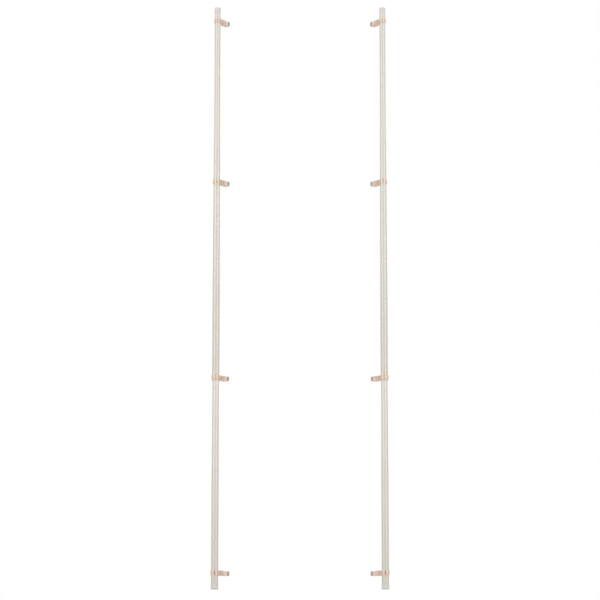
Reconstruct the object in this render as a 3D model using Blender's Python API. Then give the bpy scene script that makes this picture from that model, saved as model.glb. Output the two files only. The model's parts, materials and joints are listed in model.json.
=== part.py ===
"""A left-hand and right-hand pair of sectional climbing sticks.

Each stick is three tapered tubes that plug end on end, a cap and a foot boot. Four clamps on
each stick carry a short step that folds up on a cross pin. Units are metres, +Z is up, and the
sticks stand on z = 0 on either side of x = 0, with their steps turned in and back.
"""

import math

import bmesh
import bpy
from mathutils import Matrix, Vector

# ---- Layout of the pair ----
STICK_SPACING = 0.868  # between the two tube axes
STEP_TURN = math.radians(55.0)  # how far the steps are turned back from the line of the pair

# ---- Rise of each section, from its lower rim to the rim of the next ----
LOWER_RISE = 1.068
MIDDLE_RISE = 1.021
UPPER_RISE = 0.955

# ---- Tube sizes ----
LOWER_BASE_D = 0.0366
MIDDLE_BASE_D = 0.0373
UPPER_BASE_D = 0.0339
UPPER_TOP_D = 0.0305
LOWER_LEDGE = 0.00145  # width of the shoulder that the section above rests on
MIDDLE_LEDGE = 0.0036
LOWER_STRAIGHT = 0.614  # parallel length above the lower rim
MIDDLE_STRAIGHT = 0.482
UPPER_STRAIGHT = 0.070
LOWER_TAPER = 0.400
MIDDLE_TAPER = 0.495
UPPER_TAPER = 0.270
TUBE_WALL = 0.0022
SOCKET_WALL = 0.0030
SPIGOT_LENGTH = 0.110
SPIGOT_LEAD = 0.0015  # chamfer at the spigot's mouth
TUBE_SIDES = 32

# ---- Ends ----
BOOT_FLOOR = 0.0060
BOOT_HEIGHT = 0.027
BOOT_WALL = 0.0010
CAP_ROOF = 0.0060
CAP_HEIGHT = 0.024
CAP_WALL = 0.0008
END_CHAMFER = 0.0008

# ---- Where the clamps sit ----
FOOT_CLAMP_RISE = 0.082  # centre height above the ground
LOW_CLAMP_LIFT = 0.016  # centre above the rim of the section that it clamps
HIGH_CLAMP_LIFT = 0.025
TOP_CLAMP_DROP = 0.065  # centre below the upper tube's end

# ---- Clamp, step and pad ----
CLAMP_HEIGHT = 0.0200
FOOT_CLAMP_HEIGHT = 0.0250
STRAP_THICKNESS = 0.0025
STRAP_PAST_PIVOT = 0.0115
STRAP_CORNER = 0.0050
SCREW_WALL = 0.00145  # metal left in the saddle on each side of its screw hole
SADDLE_HALF_WRAP = math.radians(50.0)
STEP_HEIGHT = 0.0235
STEP_WALL = 0.0022
STEP_REACH = 0.0520  # pad's end face beyond the pivot
FOOT_STEP_EXTRA = 0.0110  # the lowest step is longer
PAD_LENGTH = 0.0180
PAD_TONGUE = 0.0060
PAD_OVERHANG = 0.0010  # how far the pad stands past the step's lip
LIP_THICKNESS = 0.0019
PAD_ROUND = 0.0015

# ---- Fasteners ----
SCREW_D = 0.0050
SCREW_HEAD_D = 0.0085
SCREW_HEAD_H = 0.0045
SCREW_TIP = 0.0015
PIN_D = 0.0060
PIN_HEAD_D = 0.0105
PIN_HEAD_H = 0.0022
PIN_BROW = 0.93  # the domed head's width at half its height, as a share of its full width
PIN_SIDES = 12

# ---- Clearances ----
GAP = 0.0003  # between pieces that touch
PIN_PLAY = 0.0004  # between the cross pin and the step's holes
STEP_PLAY = 0.0005  # between the step's sides and the strap

CUTTER_MARGIN = 0.002
ARC_STEPS = 12
ROUND_STEPS = 6
SMOOTH_ANGLE = math.radians(30.0)

MATERIALS = {
    "tube": ((0.66, 0.63, 0.56), 0.42, 0.35),
    "end_grey": ((0.64, 0.62, 0.59), 0.55, 0.0),
    "copper": ((0.65, 0.50, 0.40), 0.38, 0.7),
    "step_copper": ((0.80, 0.60, 0.49), 0.42, 0.6),
    "screw_steel": ((0.45, 0.42, 0.40), 0.30, 1.0),
    "pad_rubber": ((0.38, 0.29, 0.23), 0.65, 0.0),
}


def clear_scene():
    for old in list(bpy.data.objects):
        bpy.data.objects.remove(old, do_unlink=True)


def make_material(name):
    color, roughness, metallic = MATERIALS[name]
    material = bpy.data.materials.get(name)
    if material is None:
        material = bpy.data.materials.new(name)
        material.use_nodes = True
        shader = material.node_tree.nodes["Principled BSDF"]
        shader.inputs["Base Color"].default_value = (*color, 1.0)
        shader.inputs["Roughness"].default_value = roughness
        shader.inputs["Metallic"].default_value = metallic
    return material


def link(name, mesh, parent=None, location=(0.0, 0.0, 0.0)):
    piece = bpy.data.objects.new(name, mesh)
    bpy.context.scene.collection.objects.link(piece)
    piece.parent = parent
    piece.location = location
    return piece


def add_empty(name, parent=None, location=(0.0, 0.0, 0.0), turn=0.0):
    holder = link(name, None, parent, location)
    holder.rotation_euler = (0.0, 0.0, turn)
    return holder


def mesh_from(name, bm, smooth=True):
    bmesh.ops.recalc_face_normals(bm, faces=bm.faces)
    mesh = bpy.data.meshes.new(name)
    bm.to_mesh(mesh)
    bm.free()
    if smooth:
        mesh.shade_smooth()
        mesh.set_sharp_from_angle(angle=SMOOTH_ANGLE)
    return mesh


def turned(name, profile, sides):
    """Sweeps a closed outline of (radius, height) points round Z. Points on the axis become poles."""
    bm = bmesh.new()
    rings = []
    for radius, height in profile:
        if radius <= 0.0:
            rings.append([bm.verts.new((0.0, 0.0, height))] * sides)
            continue
        ring = []
        for index in range(sides):
            angle = math.tau * index / sides
            ring.append(bm.verts.new((radius * math.cos(angle), radius * math.sin(angle), height)))
        rings.append(ring)
    for lower, upper in zip(rings, rings[1:] + rings[:1]):
        for index in range(sides):
            following = (index + 1) % sides
            corners = [lower[index], lower[following], upper[following], upper[index]]
            corners = list(dict.fromkeys(corners))
            if len(corners) > 2:
                bm.faces.new(corners)
    return mesh_from(name, bm)


def prism(name, outline, height, smooth=True):
    """Raises a flat outline of (x, y) points, centred on z = 0."""
    bm = bmesh.new()
    base = bm.faces.new([bm.verts.new((x, y, -height / 2)) for x, y in outline])
    raised = bmesh.ops.extrude_face_region(bm, geom=[base])
    top = [item for item in raised["geom"] if isinstance(item, bmesh.types.BMVert)]
    bmesh.ops.translate(bm, verts=top, vec=(0.0, 0.0, height))
    return mesh_from(name, bm, smooth)


def arc(center, radius, start, stop, steps):
    points = []
    for index in range(steps + 1):
        angle = start + (stop - start) * index / steps
        points.append((center[0] + radius * math.cos(angle), center[1] + radius * math.sin(angle)))
    return points


def add_cut(piece, cutter, operation="DIFFERENCE"):
    cutter.hide_render = True
    cutter.display_type = "WIRE"
    cut = piece.modifiers.new(cutter.name, "BOOLEAN")
    cut.operation = operation
    cut.solver = "EXACT"
    cut.object = cutter


def cross_cutter(name, diameter, half_length, parent, location):
    """A round cutter lying along the clamp's own Y."""
    profile = [(0.0, -half_length), (diameter / 2, -half_length), (diameter / 2, half_length)]
    profile.append((0.0, half_length))
    cutter = link(name, turned(name, profile, PIN_SIDES), parent, location)
    cutter.rotation_euler = (-math.pi / 2, 0.0, 0.0)
    return cutter


def box_cutter(name, low, high, parent, location=(0.0, 0.0, 0.0)):
    bm = bmesh.new()
    size = Vector(high) - Vector(low)
    middle = (Vector(high) + Vector(low)) / 2
    placed = Matrix.Translation(middle) @ Matrix.Diagonal((*size, 1.0))
    bmesh.ops.create_cube(bm, size=1.0, matrix=placed)
    return link(name, mesh_from(name, bm, smooth=False), parent, location)


# ---- Tubes ----


class Section:
    """One tube: its sizes, the socket in its foot and the spigot on its head."""

    def __init__(self, rise, base_d, top_d, straight, taper, has_socket, next_base_d=None):
        self.rise = rise
        self.base_d = base_d
        self.top_d = top_d
        self.straight = straight
        self.taper = taper
        self.has_socket = has_socket
        self.next_base_d = next_base_d

    def outline(self, bottom=0.0):
        """The outline from the lower rim, up the outside and down the bore."""
        base, top = self.base_d / 2, self.top_d / 2
        taper_top = self.straight + self.taper
        outside = [(base, bottom), (base, self.straight), (top, taper_top), (top, self.rise)]
        inside = [(top - TUBE_WALL, taper_top)]
        if self.next_base_d:
            spigot = spigot_diameter(self.next_base_d) / 2
            tip = self.rise + SPIGOT_LENGTH
            shelf = self.rise - 2 * TUBE_WALL
            outside += [(spigot, self.rise), (spigot, tip - SPIGOT_LEAD), (spigot - SPIGOT_LEAD / 2, tip)]
            bore = spigot - TUBE_WALL
            inside = [(bore, tip), (bore, shelf), (top - TUBE_WALL, shelf)] + inside
        else:
            inside = [(top - TUBE_WALL, self.rise)] + inside
        if self.has_socket:
            socket = socket_diameter(self.base_d) / 2
            depth = SPIGOT_LENGTH + 2 * TUBE_WALL
            inside += [(socket, depth), (socket, bottom)]
        else:
            inside += [(base - TUBE_WALL, bottom)]
        return outside + inside


def socket_diameter(base_d):
    return base_d - 2 * SOCKET_WALL


def spigot_diameter(base_d):
    return socket_diameter(base_d) - 2 * GAP


LOWER_TOP_D = spigot_diameter(MIDDLE_BASE_D) + 2 * LOWER_LEDGE
MIDDLE_TOP_D = spigot_diameter(UPPER_BASE_D) + 2 * MIDDLE_LEDGE
LOWER = Section(LOWER_RISE, LOWER_BASE_D, LOWER_TOP_D, LOWER_STRAIGHT, LOWER_TAPER, False, MIDDLE_BASE_D)
MIDDLE = Section(MIDDLE_RISE, MIDDLE_BASE_D, MIDDLE_TOP_D, MIDDLE_STRAIGHT, MIDDLE_TAPER, True, UPPER_BASE_D)
UPPER = Section(UPPER_RISE, UPPER_BASE_D, UPPER_TOP_D, UPPER_STRAIGHT, UPPER_TAPER, True)


def boot_outline():
    """The foot boot: a cup round the lower tube's end, with a flat sole."""
    bore = LOWER.base_d / 2 + GAP
    outer = bore + BOOT_WALL
    sole = [(0.0, 0.0), (outer - END_CHAMFER, 0.0), (outer, END_CHAMFER), (outer, BOOT_HEIGHT)]
    return sole + [(bore, BOOT_HEIGHT), (bore, BOOT_FLOOR), (0.0, BOOT_FLOOR)]


def cap_outline():
    """The top cap, drawn down from its crown, with z = 0 at the upper tube's end."""
    bore = UPPER.top_d / 2 + GAP
    outer = bore + CAP_WALL
    crown = GAP + CAP_ROOF
    rim = crown - CAP_HEIGHT
    skirt = [(0.0, GAP), (bore, GAP), (bore, rim), (outer, rim), (outer, crown - END_CHAMFER)]
    return skirt + [(outer - END_CHAMFER, crown), (0.0, crown)]


# ---- Clamps and steps ----


class Clamp:
    """The sizes of one clamp, from the radius of the tube that it grips.

    Its own X runs from the tube axis out along the step, its own Z is up, and z = 0 is mid-height.
    """

    def __init__(self, tube_radius, height, reach):
        self.tube_radius = tube_radius
        self.height = height
        self.reach = reach
        self.seat = tube_radius + GAP
        self.screw_x = self.seat + SCREW_WALL + SCREW_D / 2 + GAP
        self.front = self.screw_x + SCREW_D / 2 + GAP + SCREW_WALL
        self.pivot_x = self.front + GAP + STEP_HEIGHT / 2
        self.strap_end = self.pivot_x + STRAP_PAST_PIVOT
        self.strap_side = self.seat + STRAP_THICKNESS
        self.step_side = self.seat - STEP_PLAY


def strap_outline(clamp):
    """A band round the back of the tube, with two straight legs that end in rounded corners."""
    half_turn = (math.pi / 2, 3 * math.pi / 2)
    outer = arc((0.0, 0.0), clamp.strap_side, *half_turn, ARC_STEPS)
    inner = arc((0.0, 0.0), clamp.seat, half_turn[1], half_turn[0], ARC_STEPS)
    lower_leg = [(clamp.strap_end, -clamp.strap_side), (clamp.strap_end, -clamp.seat)]
    upper_leg = [(clamp.strap_end, clamp.seat), (clamp.strap_end, clamp.strap_side)]
    return outer + lower_leg + inner + upper_leg


def saddle_outline(clamp):
    """A block between the legs, hollowed to the tube at the back and flat in front."""
    hollow = arc((0.0, 0.0), clamp.seat, -SADDLE_HALF_WRAP, SADDLE_HALF_WRAP, ARC_STEPS)
    side = clamp.seat - GAP
    horn = hollow[0][0]
    back = [(horn, side), (clamp.front, side), (clamp.front, -side), (horn, -side)]
    return hollow + back


def step_outline(clamp):
    """The step's side, seen along its pivot, with a lip under the pad.

    Its upper rear corner is round so that it can fold up.
    """
    half = STEP_HEIGHT / 2
    rear = arc((0.0, 0.0), half, math.pi, math.pi / 2, ROUND_STEPS)
    front = clamp.reach - PAD_LENGTH - GAP
    lip_end = clamp.reach - PAD_OVERHANG
    lip_top = -half + LIP_THICKNESS
    return [(-half, -half)] + rear + [(front, half), (front, lip_top), (lip_end, lip_top), (lip_end, -half)]


def add_strap(name, clamp, holder):
    strap = link(name, prism(name, strap_outline(clamp), clamp.height), holder)
    half_length = clamp.strap_side + CUTTER_MARGIN
    screw_hole = (clamp.screw_x, 0.0, 0.0)
    pin_hole = (clamp.pivot_x, 0.0, 0.0)
    add_cut(strap, cross_cutter(name + "_screw_cut", SCREW_D + 2 * GAP, half_length, holder, screw_hole))
    add_cut(strap, cross_cutter(name + "_pin_cut", PIN_D + 2 * GAP, half_length, holder, pin_hole))
    corners = strap.modifiers.new("corners", "BEVEL")
    corners.limit_method = "WEIGHT"
    corners.width = STRAP_CORNER
    corners.segments = ROUND_STEPS // 2
    weigh_leg_corners(strap.data, clamp.strap_end)
    strap.modifiers.move(strap.modifiers.find("corners"), 0)
    return strap


def weigh_leg_corners(mesh, leg_end):
    """Marks for rounding the four edges across the legs' thickness, at the top and bottom of their ends."""
    weights = mesh.attributes.new("bevel_weight_edge", "FLOAT", "EDGE")
    for edge in mesh.edges:
        first, second = (mesh.vertices[index].co for index in edge.vertices)
        at_end = min(first.x, second.x) > leg_end - GAP
        level = abs(first.z - second.z) < GAP
        weights.data[edge.index].value = 1.0 if at_end and level else 0.0


def add_saddle(name, clamp, holder):
    saddle = link(name, prism(name, saddle_outline(clamp), clamp.height), holder)
    half_length = clamp.seat + CUTTER_MARGIN
    hole = (clamp.screw_x, 0.0, 0.0)
    add_cut(saddle, cross_cutter(name + "_cut", SCREW_D + 2 * GAP, half_length, holder, hole))
    return saddle


def add_fastener(name, outline, side, holder, location):
    """A turned fastener lying across the clamp, with its head on the outward leg."""
    piece = link(name, turned(name, outline, PIN_SIDES), holder, location)
    piece.rotation_euler = (side * math.pi / 2, 0.0, 0.0)
    return piece


def screw_outline(clamp):
    """From the tip, up the shank to the head."""
    shank, head = SCREW_D / 2, SCREW_HEAD_D / 2
    seat = clamp.strap_side + GAP
    top = seat + SCREW_HEAD_H
    tip = -clamp.strap_side - SCREW_TIP
    lead = tip + END_CHAMFER
    stem = [(0.0, tip), (shank - END_CHAMFER, tip), (shank, lead), (shank, seat), (head, seat)]
    return stem + [(head, top - END_CHAMFER), (head - END_CHAMFER, top), (0.0, top)]


def pin_outline(clamp):
    """A cross pin with a domed head at each end."""
    shank, head = PIN_D / 2, PIN_HEAD_D / 2
    seat = clamp.strap_side + GAP
    brow = seat + PIN_HEAD_H / 2
    top = seat + PIN_HEAD_H
    half = [(shank, seat), (head, seat), (head * PIN_BROW, brow), (head / 2, top), (0.0, top)]
    return [(radius, -height) for radius, height in reversed(half)] + half


def add_step(name, clamp, pivot):
    """A box section open at both ends, turned about its pivot, with holes through its sides for the pin."""
    step = link(name, prism(name, step_outline(clamp), 2 * clamp.step_side), pivot)
    step.data.transform(Matrix.Rotation(math.pi / 2, 4, "X"))
    inner = clamp.step_side - STEP_WALL
    half = STEP_HEIGHT / 2
    low = (-half - CUTTER_MARGIN, -inner, -half + STEP_WALL)
    high = (clamp.reach, inner, half - STEP_WALL)
    add_cut(step, box_cutter(name + "_bore_cut", low, high, pivot))
    half_length = clamp.step_side + CUTTER_MARGIN
    origin = (0.0, 0.0, 0.0)
    add_cut(step, cross_cutter(name + "_pin_cut", PIN_D + 2 * PIN_PLAY, half_length, pivot, origin))
    return step


def add_pad(name, clamp, pivot):
    """A rubber block on the step's lip, with a tongue that plugs into the box section."""
    half = STEP_HEIGHT / 2
    back = clamp.reach - PAD_LENGTH
    bottom = -half + LIP_THICKNESS + GAP
    bm = bmesh.new()
    size = (PAD_LENGTH, 2 * clamp.step_side, half - bottom, 1.0)
    placed = Matrix.Translation((back + PAD_LENGTH / 2, 0.0, (half + bottom) / 2)) @ Matrix.Diagonal(size)
    bmesh.ops.create_cube(bm, size=1.0, matrix=placed)
    front = [edge for edge in bm.edges if all(vert.co.x > back + PAD_ROUND for vert in edge.verts)]
    bmesh.ops.bevel(bm, geom=front, offset=PAD_ROUND, segments=2, profile=0.5, affect="EDGES")
    pad = link(name, mesh_from(name, bm), pivot)
    inner = clamp.step_side - STEP_WALL - GAP
    low = (back - PAD_TONGUE, -inner, -half + STEP_WALL + GAP)
    high = (back + PAD_ROUND, inner, half - STEP_WALL - GAP)
    add_cut(pad, box_cutter(name + "_tongue", low, high, pivot), "UNION")
    return pad


# ---- Assembly ----


def add_tube(name, section, stick, height, bottom=0.0):
    return link(name, turned(name, section.outline(bottom), TUBE_SIDES), stick, (0.0, 0.0, height))


def paint(piece, material_name):
    if not piece.data.materials:
        piece.data.materials.append(make_material(material_name))


def add_clamp(label, clamp, side, stick, height):
    holder = add_empty(label + "_clamp", stick, (0.0, 0.0, height), side_turn(side))
    paint(add_strap(label + "_strap", clamp, holder), "copper")
    paint(add_saddle(label + "_saddle", clamp, holder), "copper")
    screw_at = (clamp.screw_x, 0.0, 0.0)
    pivot_at = (clamp.pivot_x, 0.0, 0.0)
    screw = add_fastener(label + "_clamp_screw", screw_outline(clamp), side, holder, screw_at)
    paint(screw, "screw_steel")
    pin = add_fastener(label + "_pivot_pin", pin_outline(clamp), side, holder, pivot_at)
    paint(pin, "copper")
    pivot = add_empty(label + "_pivot", holder, pivot_at)
    paint(add_step(label + "_step", clamp, pivot), "step_copper")
    paint(add_pad(label + "_pad", clamp, pivot), "pad_rubber")


def side_turn(side):
    """The steps of both sticks point at the middle of the pair and back."""
    return STEP_TURN if side > 0 else math.pi - STEP_TURN


def axis_setback():
    """How far the tube axes stand in front of y = 0, so that the origin is under the middle of the set."""
    foot = Clamp(LOWER.base_d / 2, FOOT_CLAMP_HEIGHT, STEP_REACH + FOOT_STEP_EXTRA)
    behind = (foot.pivot_x + foot.reach) * math.sin(STEP_TURN) + foot.step_side * math.cos(STEP_TURN)
    in_front = max(LOWER.base_d, MIDDLE.base_d) / 2 + GAP + STRAP_THICKNESS
    return (behind - in_front) / 2


def add_stick(label, side):
    """side is +1 for the left stick, whose steps point towards +X, and -1 for the right one."""
    stick = add_empty(label + "_stick", None, (-side * STICK_SPACING / 2, -axis_setback(), 0.0))
    rim_2 = LOWER.rise
    rim_3 = rim_2 + MIDDLE.rise
    tube_end = rim_3 + UPPER.rise
    paint(add_tube(label + "_lower_tube", LOWER, stick, 0.0, BOOT_FLOOR + GAP), "tube")
    paint(add_tube(label + "_middle_tube", MIDDLE, stick, rim_2, GAP), "tube")
    paint(add_tube(label + "_upper_tube", UPPER, stick, rim_3, GAP), "tube")
    boot = link(label + "_foot_boot", turned(label + "_foot_boot", boot_outline(), TUBE_SIDES), stick)
    cap_at = (0.0, 0.0, tube_end)
    cap = link(label + "_top_cap", turned(label + "_top_cap", cap_outline(), TUBE_SIDES), stick, cap_at)
    paint(boot, "end_grey")
    paint(cap, "end_grey")
    foot_reach = STEP_REACH + FOOT_STEP_EXTRA
    clamps = (
        ("foot", LOWER.base_d, FOOT_CLAMP_HEIGHT, foot_reach, FOOT_CLAMP_RISE),
        ("low", MIDDLE.base_d, CLAMP_HEIGHT, STEP_REACH, rim_2 + LOW_CLAMP_LIFT),
        ("high", UPPER.base_d, CLAMP_HEIGHT, STEP_REACH, rim_3 + HIGH_CLAMP_LIFT),
        ("top", UPPER.top_d, CLAMP_HEIGHT, STEP_REACH, tube_end - TOP_CLAMP_DROP),
    )
    for level, tube_d, clamp_height, reach, height in clamps:
        clamp = Clamp(tube_d / 2, clamp_height, reach)
        add_clamp(label + "_" + level, clamp, side, stick, height)


def main():
    clear_scene()
    add_stick("left", 1)
    add_stick("right", -1)
    bpy.context.view_layer.update()


main()
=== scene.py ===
"""The looks of the pair of sectional climbing sticks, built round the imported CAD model.

Every CAD node is replaced by a finer piece that takes its sizes from the node's own mesh:
turned pieces from the outline of the CAD solid, and pressed or moulded pieces from its box in
the frame of its clamp. Units are metres, +Z is up.
"""

import json
import math

import bmesh
import bpy
from mathutils import Matrix, Vector


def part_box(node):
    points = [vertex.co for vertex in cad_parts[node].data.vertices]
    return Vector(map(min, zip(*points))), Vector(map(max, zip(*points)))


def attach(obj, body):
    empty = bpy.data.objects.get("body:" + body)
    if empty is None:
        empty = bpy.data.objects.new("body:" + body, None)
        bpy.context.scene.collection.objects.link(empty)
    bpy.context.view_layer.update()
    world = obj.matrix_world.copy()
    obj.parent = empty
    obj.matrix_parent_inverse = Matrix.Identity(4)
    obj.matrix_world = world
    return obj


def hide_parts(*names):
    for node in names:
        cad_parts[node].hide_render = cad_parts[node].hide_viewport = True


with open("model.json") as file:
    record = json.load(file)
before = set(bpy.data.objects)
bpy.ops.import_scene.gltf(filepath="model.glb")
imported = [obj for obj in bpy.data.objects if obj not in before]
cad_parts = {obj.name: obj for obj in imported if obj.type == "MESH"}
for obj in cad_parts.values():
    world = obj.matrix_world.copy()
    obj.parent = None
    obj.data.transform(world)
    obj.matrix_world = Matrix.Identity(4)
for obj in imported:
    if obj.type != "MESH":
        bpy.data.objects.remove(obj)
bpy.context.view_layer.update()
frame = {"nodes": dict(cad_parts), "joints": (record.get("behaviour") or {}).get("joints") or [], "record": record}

# ---- Sizes of the fine detail ----
WELD = 1.0e-5  # points of a CAD mesh closer than this are one point
TUBE_SIDES = 96
FASTENER_SIDES = 48
FILLET_STEPS = 4
FILLET_SHARE = 0.42  # the most of a neighbouring edge that a fillet may take
HOLD_SHARE = 1.25  # where a flat is held beside a fillet, in fillet lengths
CORNER_ANGLE = math.radians(15.0)  # outlines are rounded where they turn more than this
TUBE_FILLET = 0.0006
PLASTIC_FILLET = 0.0010
FASTENER_FILLET = 0.0005
PIN_FILLET = 0.0016

CUTTER_REACH = 0.03
HOLE_PLAY = 0.0003

STRAP_THICKNESS = 0.0025
STRAP_CORNER = 0.0050
STRAP_EDGE = 0.00045
STRAP_ARC_STEPS = 48
STRAP_GROOVE = 0.0006
STRAP_GROOVE_WIDTH = 0.0080
STRAP_GROOVE_END = 0.0040
STRAP_PAINTED_REFLECTION_TURN = math.radians(35.0)  # from the middle of the band's back towards the viewer, where the dark strip paints the reflection of the room behind the camera
# The strip let into each foot strap is painted reflection: dark rubber colour where the band would mirror the dark
# room behind the camera.
PAINTED_REFLECTION_WIDTH = 0.0100
PAINTED_REFLECTION_HEIGHT = 0.0190
PAINTED_REFLECTION_DEPTH = 0.0014
PAINTED_REFLECTION_PLAY = 0.0001
PAINTED_REFLECTION_EDGE = 0.0003
PAINTED_REFLECTION_STEPS = 6
SADDLE_EDGE = 0.0004
SADDLE_ARC_STEPS = 28
SADDLE_RELIEF = 0.0006
SADDLE_RELIEF_HALF = 0.0040

STEP_WALL = 0.0022
STEP_BEND = 0.0032  # outer radius of the box section's corners
STEP_HEEL = 0.0030
STEP_NOSE = 0.0008
STEP_EDGE = 0.00035
STEP_PLAY = 0.0004
GROOVE_COUNT = 5
GROOVE_DEPTH = 0.0005
GROOVE_WIDTH = 0.0012
GROOVE_PITCH = 0.0028
GROOVE_INSET = 0.0040

PAD_GAP = 0.0003
PAD_CORNER = 0.0022
PAD_NOSE = 0.0018
PAD_NOSE_STEPS = 5
PAD_EDGE = 0.0003
PAD_RIBS = 3
PAD_RIB_DEPTH = 0.0009
PAD_RIB_WIDTH = 0.0018

SOCKET_SIZE = 0.0040  # across the flats of the screw's hexagon
SOCKET_DEPTH = 0.0026
SOCKET_EDGE = 0.00010
KNURLS = 24
SIDES_PER_KNURL = 6
KNURL_DEPTH = 0.00010
KNURL_INSET = 0.0004
THREAD_COUNT = 3
THREAD_PITCH = 0.0008
THREAD_DEPTH = 0.0003
THREAD_SHARE = 0.06
RIVET_DIMPLE = 0.0012

BAND_COUNT = 3
BAND_DEPTH = 0.00040
BAND_WIDTH = 0.0016
BAND_SHARE = (0.12, 0.62)
TREAD_COUNT = 3
TREAD_WIDTH = 0.0030
TREAD_DEPTH = 0.0012
TREAD_EDGE = 0.0003

# ---- The photograph's viewpoint ----
CAMERA_DISTANCE = 12.657  # from the plane of the tube axes
CAMERA_HEIGHT = -0.630
CAMERA_PITCH = math.radians(9.5)
CAMERA_LENS = 148.8
SENSOR_WIDTH = 36.0
CAMERA_CLIP_END = 200.0

# ---- Colours, as linear red, green and blue ----
TUBE_DEEP = (0.59, 0.560, 0.497)
TUBE_PALE = (0.635, 0.606, 0.541)
TUBE_RUBBED = (0.75, 0.72, 0.65)
TUBE_DULL = (0.55, 0.515, 0.455)
TUBE_SCUFF = (0.54, 0.50, 0.44)
BARE_ALUMINIUM = (0.86, 0.85, 0.83)
GREY_DEEP = (0.56, 0.535, 0.51)
GREY_PALE = (0.63, 0.605, 0.57)
GREY_DUST = (0.72, 0.68, 0.62)
GREY_WORN = (0.78, 0.76, 0.73)
COPPER_DEEP = (0.59, 0.445, 0.34)
COPPER_PALE = (0.71, 0.56, 0.45)
COPPER_WORN = (0.82, 0.71, 0.60)
STEP_DEEP = (0.74, 0.54, 0.435)
STEP_PALE = (0.86, 0.655, 0.545)
STEP_WORN = (0.90, 0.77, 0.67)
STEEL_DEEP = (0.68, 0.55, 0.46)
STEEL_PALE = (0.82, 0.68, 0.58)
RUBBER_DEEP = (0.34, 0.255, 0.20)
RUBBER_PALE = (0.42, 0.32, 0.255)
RUBBER_DUST = (0.50, 0.41, 0.34)
# Painted reflection: the colours of the dark strip on the foot strap, which stands in for the room behind the
# camera mirrored in the band.
PAINTED_REFLECTION_DEEP = (0.33, 0.255, 0.195)
PAINTED_REFLECTION_PALE = (0.39, 0.305, 0.235)
PAINTED_REFLECTION_DUST = (0.47, 0.38, 0.30)
FLOOR_DEEP = (0.86, 0.86, 0.85)
FLOOR_PALE = (0.90, 0.90, 0.89)

TUBE_METALLIC = 0.25
TUBE_ROUGHNESS = 0.45
RUBBER_ROUGHNESS = 0.62

# ---- The room ----
FLOOR_SIZE = 40.0
BACKDROP = (1.0, 1.0, 1.0)
ROOM_BEHIND_CAMERA = (0.34, 0.34, 0.34)
ROOM_SIDES = (1.0, 1.0, 1.0)
ROOM_STRENGTH = 0.78
ROOM_TURN = 0.42  # where the room reaches full brightness, from 0 behind the camera to 1 ahead of it
AREA_LIGHTS = (  # name, place, aim, width and height, watts
    ("key_left", (-7.0, -7.0, 3.4), (0.0, 0.0, 1.5), (4.4, 6.4), 360.0),
    ("key_right", (7.0, -7.0, 3.4), (0.0, 0.0, 1.5), (4.4, 6.4), 360.0),
    ("top", (0.0, -1.0, 7.0), (0.0, 0.0, 1.5), (4.0, 4.0), 60.0),
)

PLACE = "place"  # the attribute that holds a piece's own coordinates

SIDES = ("left", "right")
LEVELS = ("foot", "low", "high", "top")
TUBES = ("lower", "middle", "upper")

BODY_OF = {}
for body_name, members in frame["record"]["behaviour"]["bodies"].items():
    for member in members:
        BODY_OF[member] = body_name


# ---- Reading the CAD model ----


def axis_frame(node):
    """A frame on the upright axis of a round CAD node, with its origin on the ground."""
    low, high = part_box(node)
    return Matrix.Translation(((low.x + high.x) / 2, (low.y + high.y) / 2, 0.0))


def clamp_frame(side, level):
    """X runs from the tube's axis out along the step, Z is up, and the origin is at mid-height."""
    joint = next(j for j in frame["joints"] if j["name"] == f"{side}_{level}_step_fold")
    pivot_axis = Vector(joint["axis"])
    outward = Vector((-pivot_axis.y, pivot_axis.x, 0.0)).normalized()
    across = Vector((-outward.y, outward.x, 0.0))
    origin = axis_frame(f"{side}_lower_tube").translation.copy()
    origin.z = joint["pos_m"][2]
    turned_axes = Matrix((outward, across, (0.0, 0.0, 1.0))).transposed().to_4x4()
    return Matrix.Translation(origin) @ turned_axes


def local_points(node, basis):
    inverse = basis.inverted()
    return [inverse @ vertex.co for vertex in frame["nodes"][node].data.vertices]


def local_box(node, basis):
    points = local_points(node, basis)
    low = Vector([min(p[k] for p in points) for k in range(3)])
    high = Vector([max(p[k] for p in points) for k in range(3)])
    return low, high


def cad_outline(node, basis):
    """The (radius, height) outline of a turned CAD node, read along its meridian at +X.

    A hollow node gives a closed loop. A solid one gives a path that starts and ends on the axis.
    """
    points = local_points(node, basis)
    keys = [tuple(round(c / WELD) for c in p) for p in points]
    spot = dict(zip(keys, points))
    meridian = {k for k, p in spot.items() if abs(p.y) < WELD and p.x > WELD}
    beside = {k: set() for k in meridian}
    for edge in frame["nodes"][node].data.edges:
        first, second = (keys[index] for index in edge.vertices)
        if first != second and first in meridian and second in meridian:
            beside[first].add(second)
            beside[second].add(first)
    ends = sorted(k for k in meridian if len(beside[k]) == 1)
    path = [ends[0] if ends else min(meridian)]
    while True:
        onward = sorted(beside[path[-1]] - set(path))
        if not onward:
            break
        path.append(onward[0])
    outline = [(spot[k].x, spot[k].z) for k in path]
    if ends:
        outline = [(0.0, outline[0][1])] + outline + [(0.0, outline[-1][1])]
    return outline, not ends


# ---- Outlines ----


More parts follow.
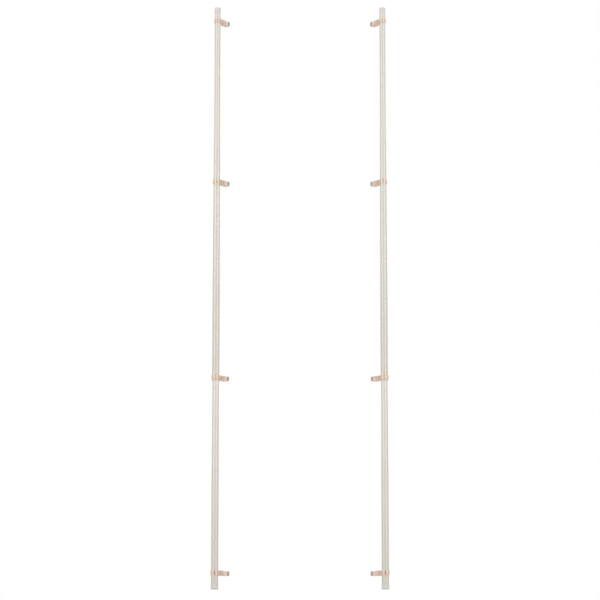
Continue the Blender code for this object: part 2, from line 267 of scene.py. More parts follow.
def rounded(outline, radius, closed):
    """Rounds each corner of an outline, and holds the flats beside it with a point near each end."""
    count = len(outline)
    result = []
    for index, point in enumerate(outline):
        corner = Vector(point)
        if not closed and index in (0, count - 1):
            result.append(tuple(corner))
            continue
        before = Vector(outline[index - 1]) - corner
        after = Vector(outline[(index + 1) % count]) - corner
        turn = math.pi - before.angle(after)
        if turn < CORNER_ANGLE:
            result.append(tuple(corner))
            continue
        reach = min(radius, FILLET_SHARE * before.length, FILLET_SHARE * after.length)
        start = corner + before.normalized() * reach
        stop = corner + after.normalized() * reach
        if before.length > 3 * reach:
            result.append(tuple(corner + before.normalized() * reach * HOLD_SHARE))
        for step in range(FILLET_STEPS + 1):
            share = step / FILLET_STEPS
            bent = start.lerp(corner, share).lerp(corner.lerp(stop, share), share)
            result.append(tuple(bent))
        if after.length > 3 * reach:
            result.append(tuple(corner + after.normalized() * reach * HOLD_SHARE))
    return result


def longest_wall(outline, closed, radius=None):
    """The index of an outline's longest upright stretch, or of its longest one at a given radius."""
    followers = outline[1:] + (outline[:1] if closed else [])
    best, best_length = 0, 0.0
    for index, (point, following) in enumerate(zip(outline, followers)):
        upright = abs(point[0] - following[0]) < WELD
        wanted = radius is None or abs(point[0] - radius) < WELD
        if upright and wanted and abs(point[1] - following[1]) > best_length:
            best, best_length = index, abs(point[1] - following[1])
    return best


def ringed(outline, wall, count, depth, width, share=(0.0, 1.0)):
    """Cuts evenly spaced ring grooves into one wall of an outline, over a share of its length."""
    radius, start = outline[wall]
    run = outline[(wall + 1) % len(outline)][1] - start
    half = math.copysign(width / 2, run)
    cuts = []
    for index in range(count):
        middle = start + run * (share[0] + (share[1] - share[0]) * (index + 0.5) / count)
        cuts.append((radius, middle - half))
        cuts.append((radius - depth, middle - half / 2))
        cuts.append((radius - depth, middle + half / 2))
        cuts.append((radius, middle + half))
    return outline[: wall + 1] + cuts + outline[wall + 1 :]


def arc(radius, start, stop, steps):
    angles = [start + (stop - start) * index / steps for index in range(steps + 1)]
    return [(radius * math.cos(angle), radius * math.sin(angle)) for angle in angles]


# ---- Meshes ----


def new_piece(name, mesh, basis):
    piece = bpy.data.objects.new(name, mesh)
    bpy.context.scene.collection.objects.link(piece)
    piece.matrix_world = basis
    return piece


def mesh_of(name, bm):
    bmesh.ops.recalc_face_normals(bm, faces=bm.faces)
    mesh = bpy.data.meshes.new(name)
    bm.to_mesh(mesh)
    bm.free()
    mesh.shade_smooth()
    return mesh


def turned(name, outline, sides, closed, ripple=None):
    """Sweeps an outline of (radius, height) points round Z. ripple() may change a point's radius."""
    bm = bmesh.new()
    rings = []
    for radius, height in outline:
        if radius < WELD:
            rings.append([bm.verts.new((0.0, 0.0, height))] * sides)
            continue
        ring = []
        for index in range(sides):
            angle = math.tau * index / sides
            out = ripple(radius, height, angle) if ripple else radius
            ring.append(bm.verts.new((out * math.cos(angle), out * math.sin(angle), height)))
        rings.append(ring)
    followers = rings[1:] + rings[:1] if closed else rings[1:]
    for lower, upper in zip(rings, followers):
        for index in range(sides):
            beside = (index + 1) % sides
            corners = list(dict.fromkeys((lower[index], lower[beside], upper[beside], upper[index])))
            if len(corners) > 2:
                bm.faces.new(corners)
    return mesh_of(name, bm)


def prism(name, outline, low, high, axis="Z"):
    """Raises a flat outline from low to high along Z, or along Y for an outline of (x, z) points."""
    bm = bmesh.new()
    if axis == "Z":
        corners = [(x, y, low) for x, y in outline]
        rise = Vector((0.0, 0.0, high - low))
    else:
        corners = [(x, low, z) for x, z in outline]
        rise = Vector((0.0, high - low, 0.0))
    base = bm.faces.new([bm.verts.new(corner) for corner in corners])
    raised = bmesh.ops.extrude_face_region(bm, geom=[base])
    top = [item for item in raised["geom"] if isinstance(item, bmesh.types.BMVert)]
    bmesh.ops.translate(bm, verts=top, vec=rise)
    return mesh_of(name, bm)


def loft(name, sections):
    """Skins a row of closed outlines that have the same number of points, and caps both ends."""
    bm = bmesh.new()
    rings = [[bm.verts.new(point) for point in section] for section in sections]
    for lower, upper in zip(rings, rings[1:]):
        for index in range(len(lower)):
            beside = (index + 1) % len(lower)
            bm.faces.new((lower[index], lower[beside], upper[beside], upper[index]))
    bm.faces.new(rings[0])
    bm.faces.new(rings[-1])
    return mesh_of(name, bm)


def rod(name, radius, low, high, sides=32):
    """A plain round cutter along Y."""
    return prism(name, arc(radius, 0.0, math.tau * (sides - 1) / sides, sides - 1), low, high, "Y")


def block(name, low, high):
    outline = [(low[0], low[1]), (high[0], low[1]), (high[0], high[1]), (low[0], high[1])]
    return prism(name, outline, low[2], high[2])


def round_rectangle(low, high, radii, steps=8):
    """An (x, z) rectangle whose corners are rounded, in the order low-low, high-low, high-high, low-high."""
    corners = [(low[0], low[1]), (high[0], low[1]), (high[0], high[1]), (low[0], high[1])]
    inward = [(1, 1), (-1, 1), (-1, -1), (1, -1)]
    points = []
    for index, ((x, z), (dx, dz), radius) in enumerate(zip(corners, inward, radii)):
        if radius <= 0.0:
            points.append((x, z))
            continue
        center = (x + dx * radius, z + dz * radius)
        start = math.pi + index * math.pi / 2
        for px, pz in arc(radius, start, start + math.pi / 2, steps):
            points.append((center[0] + px, center[1] + pz))
    return points


def combine(piece, meshes, operation="DIFFERENCE"):
    """Cuts each mesh out of the piece, or joins or crosses it, all in the piece's own frame."""
    for mesh in meshes:
        tool = new_piece(mesh.name, mesh, piece.matrix_world)
        cut = piece.modifiers.new("cut", "BOOLEAN")
        cut.operation = operation
        cut.solver = "EXACT"
        cut.object = tool
        settle(piece)
        bpy.data.objects.remove(tool)


def settle(piece):
    """Turns the piece's modifiers into its mesh."""
    bpy.context.view_layer.update()
    graph = bpy.context.evaluated_depsgraph_get()
    mesh = bpy.data.meshes.new_from_object(piece.evaluated_get(graph))
    piece.modifiers.clear()
    piece.data = mesh


def ease_edges(piece, width, segments=2, angle=35.0):
    """Breaks the sharp edges and keeps the flats flat."""
    bevel = piece.modifiers.new("edges", "BEVEL")
    bevel.limit_method = "ANGLE"
    bevel.angle_limit = math.radians(angle)
    bevel.width = width
    bevel.segments = segments
    bevel.miter_outer = "MITER_ARC"
    weighted = piece.modifiers.new("normals", "WEIGHTED_NORMAL")
    weighted.keep_sharp = True
    settle(piece)
    piece.data.shade_smooth()


def keep_places(piece):
    """Moves the piece's mesh into the world, and keeps its own coordinates for its material's patterns."""
    mesh = piece.data
    places = mesh.attributes.new(PLACE, "FLOAT_VECTOR", "POINT")
    for vertex, place in zip(mesh.vertices, places.data):
        place.vector = vertex.co
    mesh.transform(piece.matrix_world)
    piece.matrix_world = Matrix.Identity(4)


def finish_piece(piece, node, material):
    keep_places(piece)
    piece.data.materials.clear()
    piece.data.materials.append(material)
    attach(piece, BODY_OF[node])
    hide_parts(node)
    return piece


# ---- Turned pieces ----


def make_tube(side, label):
    node = f"{side}_{label}_tube"
    basis = axis_frame(node)
    outline, closed = cad_outline(node, basis)
    mesh = turned(node, rounded(outline, TUBE_FILLET, closed), TUBE_SIDES, closed)
    finish = MATERIALS["upper" if label == "upper" else "handled"]
    return finish_piece(new_piece(f"{node}_turned", mesh, basis), node, finish)


def make_end(side, label):
    """The foot boot or the top cap: moulded, with ring grooves round its skirt and soft edges."""
    node = f"{side}_{label}"
    basis = axis_frame(node)
    outline, closed = cad_outline(node, basis)
    widest = max(radius for radius, _ in outline)
    wall = longest_wall(outline, closed, widest)
    outline = ringed(outline, wall, BAND_COUNT, BAND_DEPTH, BAND_WIDTH, BAND_SHARE)
    mesh = turned(node, rounded(outline, PLASTIC_FILLET, closed), TUBE_SIDES, closed)
    piece = new_piece(f"{node}_moulded", mesh, basis)
    if label == "foot_boot":
        treads = [tread_cutter(widest, turn) for turn in range(TREAD_COUNT)]
        combine(piece, treads)
        ease_edges(piece, TREAD_EDGE)
    return finish_piece(piece, node, MATERIALS["end_grey"])


def tread_cutter(radius, turn):
    """A shallow groove across the sole, through its middle, turned to its place."""
    corner = Vector((radius * 1.2, TREAD_WIDTH / 2, TREAD_DEPTH))
    mesh = block("tread", -corner, corner)
    mesh.transform(Matrix.Rotation(math.pi * turn / TREAD_COUNT, 4, "Z"))
    return mesh


def fastener_frame(node, side, level):
    """X is the clamp's own X, and Z points along the fastener to its head."""
    basis = clamp_frame(side, level)
    low, high = local_box(node, basis)
    head = -1.0 if side == "left" else 1.0
    turn = Matrix.Rotation(-head * math.pi / 2, 4, "X")
    return basis @ Matrix.Translation(((low.x + high.x) / 2, 0.0, 0.0)) @ turn


def knurled(head_radius, start, stop):
    """Ripples the outside of a head between two heights."""

    def ripple(radius, height, angle):
        on_side = radius > head_radius - WELD and start < height < stop
        return radius - (KNURL_DEPTH * (1 + math.cos(KNURLS * angle)) if on_side else 0.0)

    return ripple


def make_screw(side, level):
    """A socket-head screw: a knurled head with a hexagon sunk in it, and a threaded tip."""
    node = f"{side}_{level}_clamp_screw"
    basis = fastener_frame(node, side, level)
    outline, closed = cad_outline(node, basis)
    if outline[0][1] > outline[-1][1]:
        outline.reverse()
    top = outline[-1][1]
    head = max(radius for radius, _ in outline)
    head_side = longest_wall(outline, closed, head)
    knurl_from, knurl_to = (outline[head_side + step][1] for step in (0, 1))
    shank = longest_wall(outline, closed)
    outline = ringed(outline, shank, THREAD_COUNT, THREAD_DEPTH, THREAD_PITCH * 0.8, (0.0, THREAD_SHARE))
    ripple = knurled(head, knurl_from + KNURL_INSET, knurl_to - KNURL_INSET)
    outline = rounded(outline, FASTENER_FILLET, closed)
    mesh = turned(node, outline, KNURLS * SIDES_PER_KNURL, closed, ripple)
    piece = new_piece(f"{node}_turned", mesh, basis)
    across_corners = SOCKET_SIZE / math.cos(math.pi / 6) / 2
    hexagon = arc(across_corners, 0.0, math.tau * 5 / 6, 5)
    combine(piece, [prism("hexagon", hexagon, top - SOCKET_DEPTH, top + SOCKET_DEPTH)])
    ease_edges(piece, SOCKET_EDGE)
    return finish_piece(piece, node, MATERIALS["screw_steel"])


def make_pin(side, level):
    """A rivet through the strap's legs and the step, with a domed and dimpled head at each end."""
    node = f"{side}_{level}_pivot_pin"
    basis = fastener_frame(node, side, level)
    outline, closed = cad_outline(node, basis)
    dimpled = list(outline)
    for end, inner in ((0, 1), (-1, -2)):
        inward = math.copysign(RIVET_DIMPLE / 2, -outline[end][1])
        dimpled[end] = (0.0, outline[end][1] + inward)
        rim = (RIVET_DIMPLE, outline[inner][1])
        dimpled.insert(1 if end == 0 else len(dimpled) - 1, rim)
    mesh = turned(node, rounded(dimpled, PIN_FILLET, closed), FASTENER_SIDES, closed)
    return finish_piece(new_piece(f"{node}_riveted", mesh, basis), node, MATERIALS["pin"])


# ---- Clamps ----


def shank_radius(side, level, kind):
    node = f"{side}_{level}_{kind}"
    outline, closed = cad_outline(node, fastener_frame(node, side, level))
    return outline[longest_wall(outline, closed)][0]


def center_x(node, basis):
    low, high = local_box(node, basis)
    return (low.x + high.x) / 2


def cross_hole(side, level, kind, play, basis):
    """A cutter along Y for the clamp screw or the pivot pin."""
    x = center_x(f"{side}_{level}_{kind}", basis)
    mesh = rod("hole", shank_radius(side, level, kind) + play, -CUTTER_REACH, CUTTER_REACH)
    mesh.transform(Matrix.Translation((x, 0.0, 0.0)))
    return mesh


def band_outline(outer, inner, leg_end):
    """A band round the back of the tube with two straight legs."""
    quarter = math.pi / 2
    outside = arc(outer, quarter, 3 * quarter, STRAP_ARC_STEPS)
    inside = arc(inner, 3 * quarter, quarter, STRAP_ARC_STEPS)
    return outside + [(leg_end, -outer), (leg_end, -inner)] + inside + [(leg_end, inner), (leg_end, outer)]


def make_strap(side, level):
    """A pressed band with a groove rolled round its back, rounded leg ends and two cross holes."""
    node = f"{side}_{level}_strap"
    basis = clamp_frame(side, level)
    low, high = local_box(node, basis)
    outer = high.y
    inner = outer - STRAP_THICKNESS
    mesh = prism(node, band_outline(outer, inner, high.x), low.z, high.z)
    piece = new_piece(f"{node}_pressed", mesh, basis)
    corners = round_rectangle((2 * low.x, low.z), (high.x, high.z), (0, STRAP_CORNER, STRAP_CORNER, 0))
    combine(piece, [prism("corners", corners, 2 * low.y, 2 * high.y, "Y")], "INTERSECT")
    cuts = [rolled_groove(outer, basis)]
    cuts.append(cross_hole(side, level, "clamp_screw", HOLE_PLAY, basis))
    cuts.append(cross_hole(side, level, "pivot_pin", HOLE_PLAY, basis))
    combine(piece, cuts)
    # The foot strap is slotted for the dark strip of painted reflection.
    if level == "foot":
        combine(piece, [painted_reflection_shape(outer - PAINTED_REFLECTION_DEPTH, outer + STRAP_THICKNESS, side, 0.0)])
    ease_edges(piece, STRAP_EDGE)
    return finish_piece(piece, node, MATERIALS["copper"])


def rolled_groove(outer, basis):
    """A cutter for the shallow groove round the band, with round ends on the legs."""
    half = STRAP_GROOVE_WIDTH / 2
    outline = band_outline(outer + STRAP_THICKNESS, outer - STRAP_GROOVE, STRAP_GROOVE_END)
    cutter = new_piece("groove", prism("groove", outline, -half, half), basis)
    ends = round_rectangle((-2 * outer, -half), (STRAP_GROOVE_END, half), (0, half * 0.98, half * 0.98, 0))
    combine(cutter, [prism("ends", ends, -2 * outer, 2 * outer, "Y")], "INTERSECT")
    mesh = cutter.data
    bpy.data.objects.remove(cutter)
    return mesh


def painted_reflection_shape(inner, outer, side, inset):
    """An upright strip of the band that faces the viewer, with round ends: the place of the dark strip of painted
    reflection.
    """
    facing = math.pi + (STRAP_PAINTED_REFLECTION_TURN if side == "left" else -STRAP_PAINTED_REFLECTION_TURN)
    half_angle = (PAINTED_REFLECTION_WIDTH / 2 - inset) / outer
    low, high = facing - half_angle, facing + half_angle
    outline = arc(outer, low, high, PAINTED_REFLECTION_STEPS) + arc(inner, high, low, PAINTED_REFLECTION_STEPS)
    half = PAINTED_REFLECTION_HEIGHT / 2 - inset
    return prism("inlay", outline, -half, half)


def make_painted_reflection(side):
    """A dark rubber-coloured strip let into the foot strap where the band faces the viewer: a painted reflection
    of the dark room behind the camera.
    """
    node = f"{side}_foot_strap"
    basis = clamp_frame(side, "foot")
    outer = local_box(node, basis)[1].y
    mesh = painted_reflection_shape(outer - PAINTED_REFLECTION_DEPTH + PAINTED_REFLECTION_PLAY, outer - PAINTED_REFLECTION_PLAY, side, PAINTED_REFLECTION_PLAY)
    piece = new_piece(f"{side}_foot_painted_reflection_strip", mesh, basis)
    ease_edges(piece, PAINTED_REFLECTION_EDGE, segments=3)
    keep_places(piece)
    piece.data.materials.append(MATERIALS["inlay"])
    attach(piece, BODY_OF[node])


def make_saddle(side, level):
    """A block between the legs that bears on the tube along two lands, with the screw through it."""
    node = f"{side}_{level}_saddle"
    basis = clamp_frame(side, level)
    low, high = local_box(node, basis)
    strap_high = local_box(f"{side}_{level}_strap", basis)[1]
    seat = strap_high.y - STRAP_THICKNESS
    half_wrap = math.acos(low.x / seat)
    hollow = arc(seat, -half_wrap, half_wrap, SADDLE_ARC_STEPS)
    outline = hollow + [(low.x, high.y), (high.x, high.y), (high.x, low.y), (low.x, low.y)]
    piece = new_piece(f"{node}_milled", prism(node, outline, low.z, high.z), basis)
    relief = (seat + SADDLE_RELIEF, SADDLE_RELIEF_HALF, 2 * high.z)
    cuts = [block("relief", (0.0, -relief[1], -relief[2]), relief)]
    cuts.append(cross_hole(side, level, "clamp_screw", HOLE_PLAY, basis))
    combine(piece, cuts)
    ease_edges(piece, SADDLE_EDGE)
    return finish_piece(piece, node, MATERIALS["copper"])


def step_frame(side, level):
    """The clamp's frame moved out to the step's pivot."""
    basis = clamp_frame(side, level)
    x = center_x(f"{side}_{level}_pivot_pin", basis)
    return basis @ Matrix.Translation((x, 0.0, 0.0))


def along_x(mesh):
    """Lays a prism that was raised from an outline of (y, z) points along X instead of Z."""
    mesh.transform(Matrix(((0, 0, 1, 0), (1, 0, 0, 0), (0, 1, 0, 0), (0, 0, 0, 1))))
    return mesh


def step_mouth(side, level, basis):
    """Where the box section ends, and how high the lip in front of it stands."""
    points = local_points(f"{side}_{level}_step", basis)
    farthest = max(p.x for p in points)
    highest = max(p.z for p in points)
    front = max(p.x for p in points if p.z > highest - WELD)
    lip_top = max(p.z for p in points if p.x > farthest - WELD)
    return front, lip_top


def box_section(name, low, high, inset):
    """A bar along X with round corners, drawn in from the step's own section on all sides."""
    section_low = (low.y + inset, low.z + inset)
    section_high = (high.y - inset, high.z - inset)
    corners = round_rectangle(section_low, section_high, [STEP_BEND - inset] * 4)
    reach = 2 * inset
    return along_x(prism(name, corners, low.x - reach, high.x + reach))


def make_step(side, level):
    """A box section that turns on the pivot pin, with a lip in front and grooves across its tread."""
    node = f"{side}_{level}_step"
    basis = step_frame(side, level)
    low, high = local_box(node, basis)
    front, lip_top = step_mouth(side, level, basis)
    piece = new_piece(f"{node}_drawn", box_section(node, low, high, 0.0), basis)
    radii = (STEP_HEEL, STEP_NOSE, STEP_NOSE, high.z)
    shape = round_rectangle((low.x, low.z), (high.x, high.z), radii, steps=16)
    combine(piece, [prism("side", shape, 2 * low.y, 2 * high.y, "Y")], "INTERSECT")
    cuts = [box_section("bore", low, high, STEP_WALL)]
    cuts.append(block("mouth", (front, 2 * low.y, lip_top), (2 * high.x, 2 * high.y, 2 * high.z)))
    cuts.append(rod("hole", shank_radius(side, level, "pivot_pin") + STEP_PLAY, -CUTTER_REACH, CUTTER_REACH))
    for index in range(GROOVE_COUNT):
        middle = front - GROOVE_INSET - index * GROOVE_PITCH
        corner = (middle - GROOVE_WIDTH / 2, 2 * low.y, high.z - GROOVE_DEPTH)
        cuts.append(block("groove", corner, (middle + GROOVE_WIDTH / 2, 2 * high.y, 2 * high.z)))
    combine(piece, cuts)
    ease_edges(piece, STEP_EDGE)
    return finish_piece(piece, node, MATERIALS["step_copper"])


def pad_sections(low, high, back):
    """Outlines across the pad, from its back to its face, drawn in over the last stretch to round it off."""
    sections = []
    for step in range(-1, PAD_NOSE_STEPS + 1):
        angle = max(step, 0) / PAD_NOSE_STEPS * math.pi / 2
        inset = PAD_NOSE * (1 - math.cos(angle))
        x = back if step < 0 else high.x - PAD_NOSE * (1 - math.sin(angle))
        corners = (low.y + inset, low.z + inset), (high.y - inset, high.z - inset)
        radii = [radius - inset for radius in (PAD_CORNER, PAD_CORNER, STEP_BEND, STEP_BEND)]
        sections.append([(x, y, z) for y, z in round_rectangle(*corners, radii)])
    return sections


def make_pad(side, level):
    """A rubber end block, ribbed across its face, with the tongue that plugs into the box section."""
    node = f"{side}_{level}_pad"
    basis = step_frame(side, level)
    low, high = local_box(node, basis)
    back = step_mouth(side, level, basis)[0] + PAD_GAP
    step_low = local_box(f"{side}_{level}_step", basis)[0]
    piece = new_piece(f"{node}_moulded", loft(node, pad_sections(low, high, back)), basis)
    ribs = []
    for index in range(PAD_RIBS):
        middle = low.z + (high.z - low.z) * (index + 1) / (PAD_RIBS + 1)
        corner = (high.x - PAD_RIB_DEPTH, 2 * low.y, middle - PAD_RIB_WIDTH / 2)
        ribs.append(block("rib", corner, (2 * high.x, 2 * high.y, middle + PAD_RIB_WIDTH / 2)))
    combine(piece, ribs)
    inset = STEP_WALL + PAD_GAP
    tongue_low = (low.x, low.y + inset, step_low.z + inset)
    tongue_high = (back + PAD_CORNER, high.y - inset, high.z - inset)
    combine(piece, [block("tongue", tongue_low, tongue_high)], "UNION")
    ease_edges(piece, PAD_EDGE)
    return finish_piece(piece, node, MATERIALS["pad_rubber"])


# ---- Materials ----


class Surface:
    """A material being built from patterns that lie in its piece's own coordinates."""

    def __init__(self, name, metallic, roughness):
        self.material = bpy.data.materials.new(name)
        self.material.use_nodes = True
        self.tree = self.material.node_tree
        self.shader = self.tree.nodes["Principled BSDF"]
        self.shader.inputs["Metallic"].default_value = metallic
        self.shader.inputs["Roughness"].default_value = roughness
        self.place = self.add("ShaderNodeAttribute", attribute_name=PLACE).outputs["Vector"]
        self.normal = None

    def add(self, kind, inputs=(), **settings):
        """Adds a node. Each of its inputs is given a number, a colour or another node's output."""
        added = self.tree.nodes.new(kind)
        for key, value in settings.items():
            setattr(added, key, value)
        for key, value in dict(inputs).items():
            if isinstance(value, bpy.types.NodeSocket):
                self.tree.links.new(value, added.inputs[key])
            else:
                added.inputs[key].default_value = value
        return added

    def noise(self, scale, detail=3.0, roughness=0.55):
        """Noise from 0 to 1, with features of 1 / scale metres. A scale per axis stretches them."""
        per_axis = scale if isinstance(scale, tuple) else (scale, scale, scale)
        placed = self.add("ShaderNodeMapping", {"Vector": self.place, "Scale": per_axis})
        values = {"Vector": placed.outputs[0], "Scale": 1.0, "Detail": detail, "Roughness": roughness}
        return self.add("ShaderNodeTexNoise", values).outputs["Fac"]

    def cells(self, scale):
        """Distance to the nearest point of a scatter with 1 / scale metres between points."""
        placed = {"Vector": self.place, "Scale": scale}
        return self.add("ShaderNodeTexVoronoi", placed).outputs["Distance"]

    def height_share(self):
        """From 0 at the piece's lowest point to 1 at its highest."""
        coordinates = self.add("ShaderNodeTexCoord")
        split = self.add("ShaderNodeSeparateXYZ", {0: coordinates.outputs["Generated"]})
        return split.outputs[2]

    def spread(self, value, start, stop, low=0.0, high=1.0):
        """Maps start..stop to low..high smoothly, and holds the ends."""
        values = {"Value": value, "From Min": start, "From Max": stop, "To Min": low, "To Max": high}
        return self.add("ShaderNodeMapRange", values, interpolation_type="SMOOTHSTEP").outputs[0]

    def times(self, first, second):
        return self.add("ShaderNodeMath", {0: first, 1: second}, operation="MULTIPLY").outputs[0]

    def plus(self, first, second):
        return self.add("ShaderNodeMath", {0: first, 1: second}, operation="ADD").outputs[0]

    def mixed(self, share, first, second):
        """A colour between two others, where share says how much of the second there is."""
        first, second = (c if isinstance(c, bpy.types.NodeSocket) else (*c, 1.0) for c in (first, second))
        return self.add("ShaderNodeMix", {0: share, 6: first, 7: second}, data_type="RGBA").outputs[2]

    def worn_edges(self, radius, breakup):
        """High along outside edges, and broken up by a noise."""
        eased = self.add("ShaderNodeBevel", {"Radius": radius}, samples=6)
        straight = self.add("ShaderNodeNewGeometry")
        both = {0: eased.outputs[0], 1: straight.outputs["Normal"]}
        alike = self.add("ShaderNodeVectorMath", both, operation="DOT_PRODUCT").outputs["Value"]
        edge = self.spread(alike, 0.985, 0.90)
        return self.times(edge, self.spread(breakup, 0.35, 0.60))

    def relief(self, height, depth, strength=1.0):
        """Lays a bump of the given depth over those before it."""
        values = {"Height": height, "Distance": depth, "Strength": strength}
        if self.normal:
            values["Normal"] = self.normal
        self.normal = self.add("ShaderNodeBump", values).outputs[0]

    def close(self, color, roughness):
        self.tree.links.new(color, self.shader.inputs["Base Color"])
        self.tree.links.new(roughness, self.shader.inputs["Roughness"])
        self.tree.links.new(self.normal, self.shader.inputs["Normal"])
        return self.material


def tube_coat(name, dulling):
    """Satin champagne anodising, brushed along the tube, rubbed, and duller towards the tube's foot."""
    surface = Surface(name, TUBE_METALLIC, TUBE_ROUGHNESS)
    clouds = surface.noise((18.0, 18.0, 5.0), 4.0)
    brushing = surface.noise((2600.0, 2600.0, 22.0), 2.0)
    streaks = surface.noise((160.0, 160.0, 1.6), 3.0)
    scratches = surface.noise((900.0, 900.0, 40.0), 2.0)
    color = surface.mixed(surface.spread(clouds, 0.30, 0.70), TUBE_DEEP, TUBE_PALE)
    color = surface.mixed(surface.spread(streaks, 0.40, 0.75, 0.0, 0.30), color, TUBE_RUBBED)
    foot = surface.spread(surface.height_share(), 0.95, 0.0, 0.0, dulling)
    color = surface.mixed(foot, color, TUBE_DULL)
    scuffs = surface.spread(scratches, 0.70, 0.78, 0.0, 0.3)
    color = surface.mixed(scuffs, color, TUBE_SCUFF)
    bare = surface.worn_edges(0.0010, clouds)
    color = surface.mixed(bare, color, BARE_ALUMINIUM)
    blend = surface.plus(brushing, clouds)
    rough = surface.spread(blend, 0.7, 1.3, TUBE_ROUGHNESS - 0.07, TUBE_ROUGHNESS + 0.08)
    surface.relief(brushing, 0.000010)
    surface.relief(streaks, 0.00005, 0.5)
    surface.relief(scuffs, 0.00002, 0.7)
    return surface.close(color, rough)


def moulded_grey():
    """Grey moulded plastic with a fine spark-eroded grain and paler rubbed edges."""
    surface = Surface("moulded_grey", 0.0, 0.5)
    grain = surface.noise(2400.0, 2.0)
    clouds = surface.noise(90.0, 4.0)
    dust = surface.noise((60.0, 60.0, 220.0), 5.0)
    color = surface.mixed(surface.spread(clouds, 0.3, 0.7), GREY_DEEP, GREY_PALE)
    color = surface.mixed(surface.spread(dust, 0.52, 0.72, 0.0, 0.45), color, GREY_DUST)
    color = surface.mixed(surface.worn_edges(0.0009, clouds), color, GREY_WORN)
    rough = surface.spread(surface.plus(grain, clouds), 0.7, 1.3, 0.44, 0.66)
    surface.relief(grain, 0.00006)
    surface.relief(clouds, 0.00015, 0.4)
    return surface.close(color, rough)


def copper_metal(name, deep, pale, worn, metallic, roughness, grain_scale):
    """Satin copper-toned metal: tumbled grain, darker tarnish in clouds, and bright worn edges."""
    surface = Surface(name, metallic, roughness)
    clouds = surface.noise(110.0, 5.0)
    grain = surface.noise(grain_scale, 3.0)
    spots = surface.cells(420.0)
    scratches = surface.noise((350.0, 350.0, 2200.0), 2.0)
    color = surface.mixed(surface.spread(clouds, 0.30, 0.72), deep, pale)
    color = surface.mixed(surface.spread(spots, 0.16, 0.05, 0.0, 0.35), color, deep)
    scuffs = surface.spread(scratches, 0.66, 0.76, 0.0, 0.45)
    color = surface.mixed(scuffs, color, worn)
    color = surface.mixed(surface.worn_edges(0.0009, clouds), color, worn)
    blend = surface.plus(grain, clouds)
    rough = surface.spread(blend, 0.7, 1.3, roughness - 0.08, roughness + 0.12)
    surface.relief(grain, 0.00003)
    surface.relief(scuffs, 0.00002, 0.6)
    surface.relief(clouds, 0.0002, 0.35)
    return surface.close(color, rough)


def turned_metal(name, deep, pale, metallic, roughness):
    """Lathe-turned metal with fine rings round its axis and a few dull stains."""
    surface = Surface(name, metallic, roughness)
    rings = surface.noise((300.0, 300.0, 6000.0), 2.0)
    stains = surface.noise(500.0, 4.0)
    color = surface.mixed(surface.spread(stains, 0.35, 0.70), deep, pale)
    color = surface.mixed(surface.spread(rings, 0.60, 0.85, 0.0, 0.3), color, deep)
    rough = surface.spread(surface.plus(rings, stains), 0.7, 1.3, roughness - 0.06, roughness + 0.14)
    surface.relief(rings, 0.000015)
    surface.relief(stains, 0.00004, 0.5)
    return surface.close(color, rough)


def moulded_rubber(name, deep, pale, dusty):
    """Brown rubber, pebbled, with paler dust rubbed into it."""
    surface = Surface(name, 0.0, RUBBER_ROUGHNESS)
    pebbles = surface.cells(1100.0)
    clouds = surface.noise(170.0, 5.0)
    dust = surface.noise(420.0, 5.0)
    color = surface.mixed(surface.spread(clouds, 0.3, 0.7), deep, pale)
    color = surface.mixed(surface.spread(dust, 0.50, 0.75, 0.0, 0.5), color, dusty)
    color = surface.mixed(surface.worn_edges(0.0010, clouds), color, dusty)
    blend = surface.plus(pebbles, clouds)
    rough = surface.spread(blend, 0.6, 1.3, RUBBER_ROUGHNESS - 0.1, RUBBER_ROUGHNESS + 0.15)
    surface.relief(pebbles, 0.00008)
    surface.relief(clouds, 0.00015, 0.5)
    return surface.close(color, rough)


# ---- Stage ----


def floor_surface():
    """Pale paper seen from above, and nothing at all from below, where the camera of the photograph is."""
    surface = Surface("pale_floor", 0.0, 0.9)
    fibre = surface.noise(30.0, 4.0)
    surface.relief(fibre, 0.0004, 0.2)
    color = surface.mixed(surface.spread(fibre, 0.3, 0.7), FLOOR_DEEP, FLOOR_PALE)
    surface.close(color, surface.spread(fibre, 0.3, 0.7, 0.85, 0.95))
    geometry = surface.add("ShaderNodeNewGeometry")
    clear = surface.add("ShaderNodeBsdfTransparent")
    parts = {0: geometry.outputs["Backfacing"], 1: surface.shader.outputs[0], 2: clear.outputs[0]}
    both = surface.add("ShaderNodeMixShader", parts)
    output = surface.tree.nodes["Material Output"]
    surface.tree.links.new(both.outputs[0], output.inputs["Surface"])
    return surface.material


def add_floor():
    half = FLOOR_SIZE / 2
    mesh = bpy.data.meshes.new("floor")
    corners = [(-half, -half, 0.0), (half, -half, 0.0), (half, half, 0.0), (-half, half, 0.0)]
    mesh.from_pydata(corners, [], [(0, 1, 2, 3)])
    mesh.materials.append(floor_surface())
    floor = new_piece("floor", mesh, Matrix.Identity(4))
    keep_places(floor)


def add_area_light(name, location, target, size, power):
    data = bpy.data.lights.new(name, "AREA")
    data.shape = "RECTANGLE"
    data.size, data.size_y = size
    data.energy = power
    light = bpy.data.objects.new(name, data)
    bpy.context.scene.collection.objects.link(light)
    light.location = location
    light.rotation_euler = (Vector(target) - Vector(location)).to_track_quat("-Z", "Y").to_euler()
    light.visible_camera = False


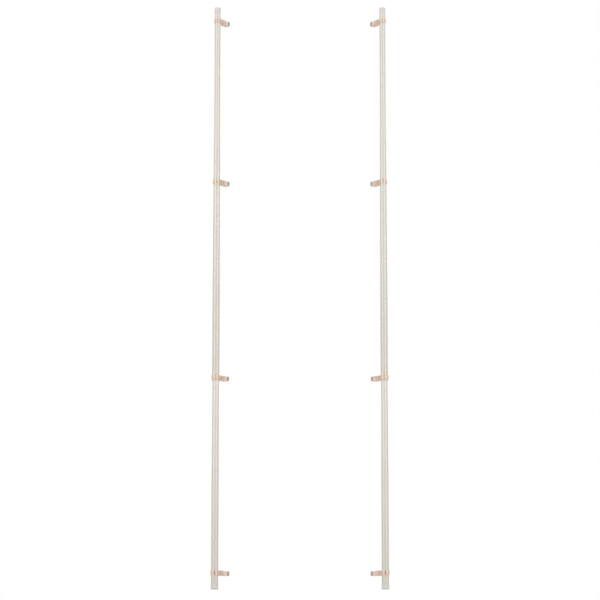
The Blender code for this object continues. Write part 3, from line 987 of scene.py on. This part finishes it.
def light_room():
    """A white room, greyer behind the camera, so that round metal shows a soft dark band down its middle."""
    world = bpy.data.worlds.new("studio")
    bpy.context.scene.world = world
    world.use_nodes = True
    tree = world.node_tree
    tree.nodes.clear()
    place = tree.nodes.new("ShaderNodeTexCoord")
    split = tree.nodes.new("ShaderNodeSeparateXYZ")
    tree.links.new(place.outputs["Generated"], split.inputs[0])
    ramp = tree.nodes.new("ShaderNodeValToRGB")
    depth = tree.nodes.new("ShaderNodeMapRange")
    depth.inputs["From Min"].default_value = -1.0
    tree.links.new(split.outputs[1], depth.inputs["Value"])
    tree.links.new(depth.outputs[0], ramp.inputs[0])
    ramp.color_ramp.elements[0].color = (*ROOM_BEHIND_CAMERA, 1.0)
    ramp.color_ramp.elements[1].color = (*ROOM_SIDES, 1.0)
    ramp.color_ramp.elements[1].position = ROOM_TURN
    room = tree.nodes.new("ShaderNodeBackground")
    tree.links.new(ramp.outputs[0], room.inputs["Color"])
    room.inputs["Strength"].default_value = ROOM_STRENGTH
    backdrop = tree.nodes.new("ShaderNodeBackground")
    backdrop.inputs["Color"].default_value = (*BACKDROP, 1.0)
    rays = tree.nodes.new("ShaderNodeLightPath")
    chosen = tree.nodes.new("ShaderNodeMixShader")
    tree.links.new(rays.outputs["Is Camera Ray"], chosen.inputs[0])
    tree.links.new(room.outputs[0], chosen.inputs[1])
    tree.links.new(backdrop.outputs[0], chosen.inputs[2])
    output = tree.nodes.new("ShaderNodeOutputWorld")
    tree.links.new(chosen.outputs[0], output.inputs["Surface"])


def add_camera():
    data = bpy.data.cameras.new("camera")
    data.lens = CAMERA_LENS
    data.sensor_width = SENSOR_WIDTH
    data.clip_end = CAMERA_CLIP_END
    camera = bpy.data.objects.new("camera", data)
    bpy.context.scene.collection.objects.link(camera)
    axis_y = axis_frame("left_lower_tube").translation.y
    camera.location = (0.0, axis_y - CAMERA_DISTANCE, CAMERA_HEIGHT)
    camera.rotation_euler = (math.pi / 2 + CAMERA_PITCH, 0.0, 0.0)
    bpy.context.scene.camera = camera


# ---- Assembly ----

MATERIALS = {
    "upper": tube_coat("tube_satin", 0.15),
    "handled": tube_coat("tube_satin_handled", 0.75),
    "end_grey": moulded_grey(),
    "copper": copper_metal("clamp_copper", COPPER_DEEP, COPPER_PALE, COPPER_WORN, 0.45, 0.46, 1500.0),
    "step_copper": copper_metal("step_copper", STEP_DEEP, STEP_PALE, STEP_WORN, 0.40, 0.50, 1100.0),
    "pin": turned_metal("rivet_copper", COPPER_PALE, COPPER_WORN, 0.45, 0.45),
    "screw_steel": turned_metal("screw_steel", STEEL_DEEP, STEEL_PALE, 0.45, 0.45),
    "pad_rubber": moulded_rubber("pad_rubber", RUBBER_DEEP, RUBBER_PALE, RUBBER_DUST),
    # Painted reflection: the rubber-coloured dark strip on each foot strap.
    "inlay": moulded_rubber("inlay_rubber", PAINTED_REFLECTION_DEEP, PAINTED_REFLECTION_PALE, PAINTED_REFLECTION_DUST),
}


def build_sticks():
    for side in SIDES:
        for label in TUBES:
            make_tube(side, label)
        make_end(side, "foot_boot")
        make_end(side, "top_cap")
        # The dark strip of painted reflection on the foot strap.
        make_painted_reflection(side)
        for level in LEVELS:
            make_strap(side, level)
            make_saddle(side, level)
            make_screw(side, level)
            make_pin(side, level)
            make_step(side, level)
            make_pad(side, level)


build_sticks()
add_floor()
light_room()
for light in AREA_LIGHTS:
    add_area_light(*light)
add_camera()
bpy.context.scene.view_settings.view_transform = "Standard"
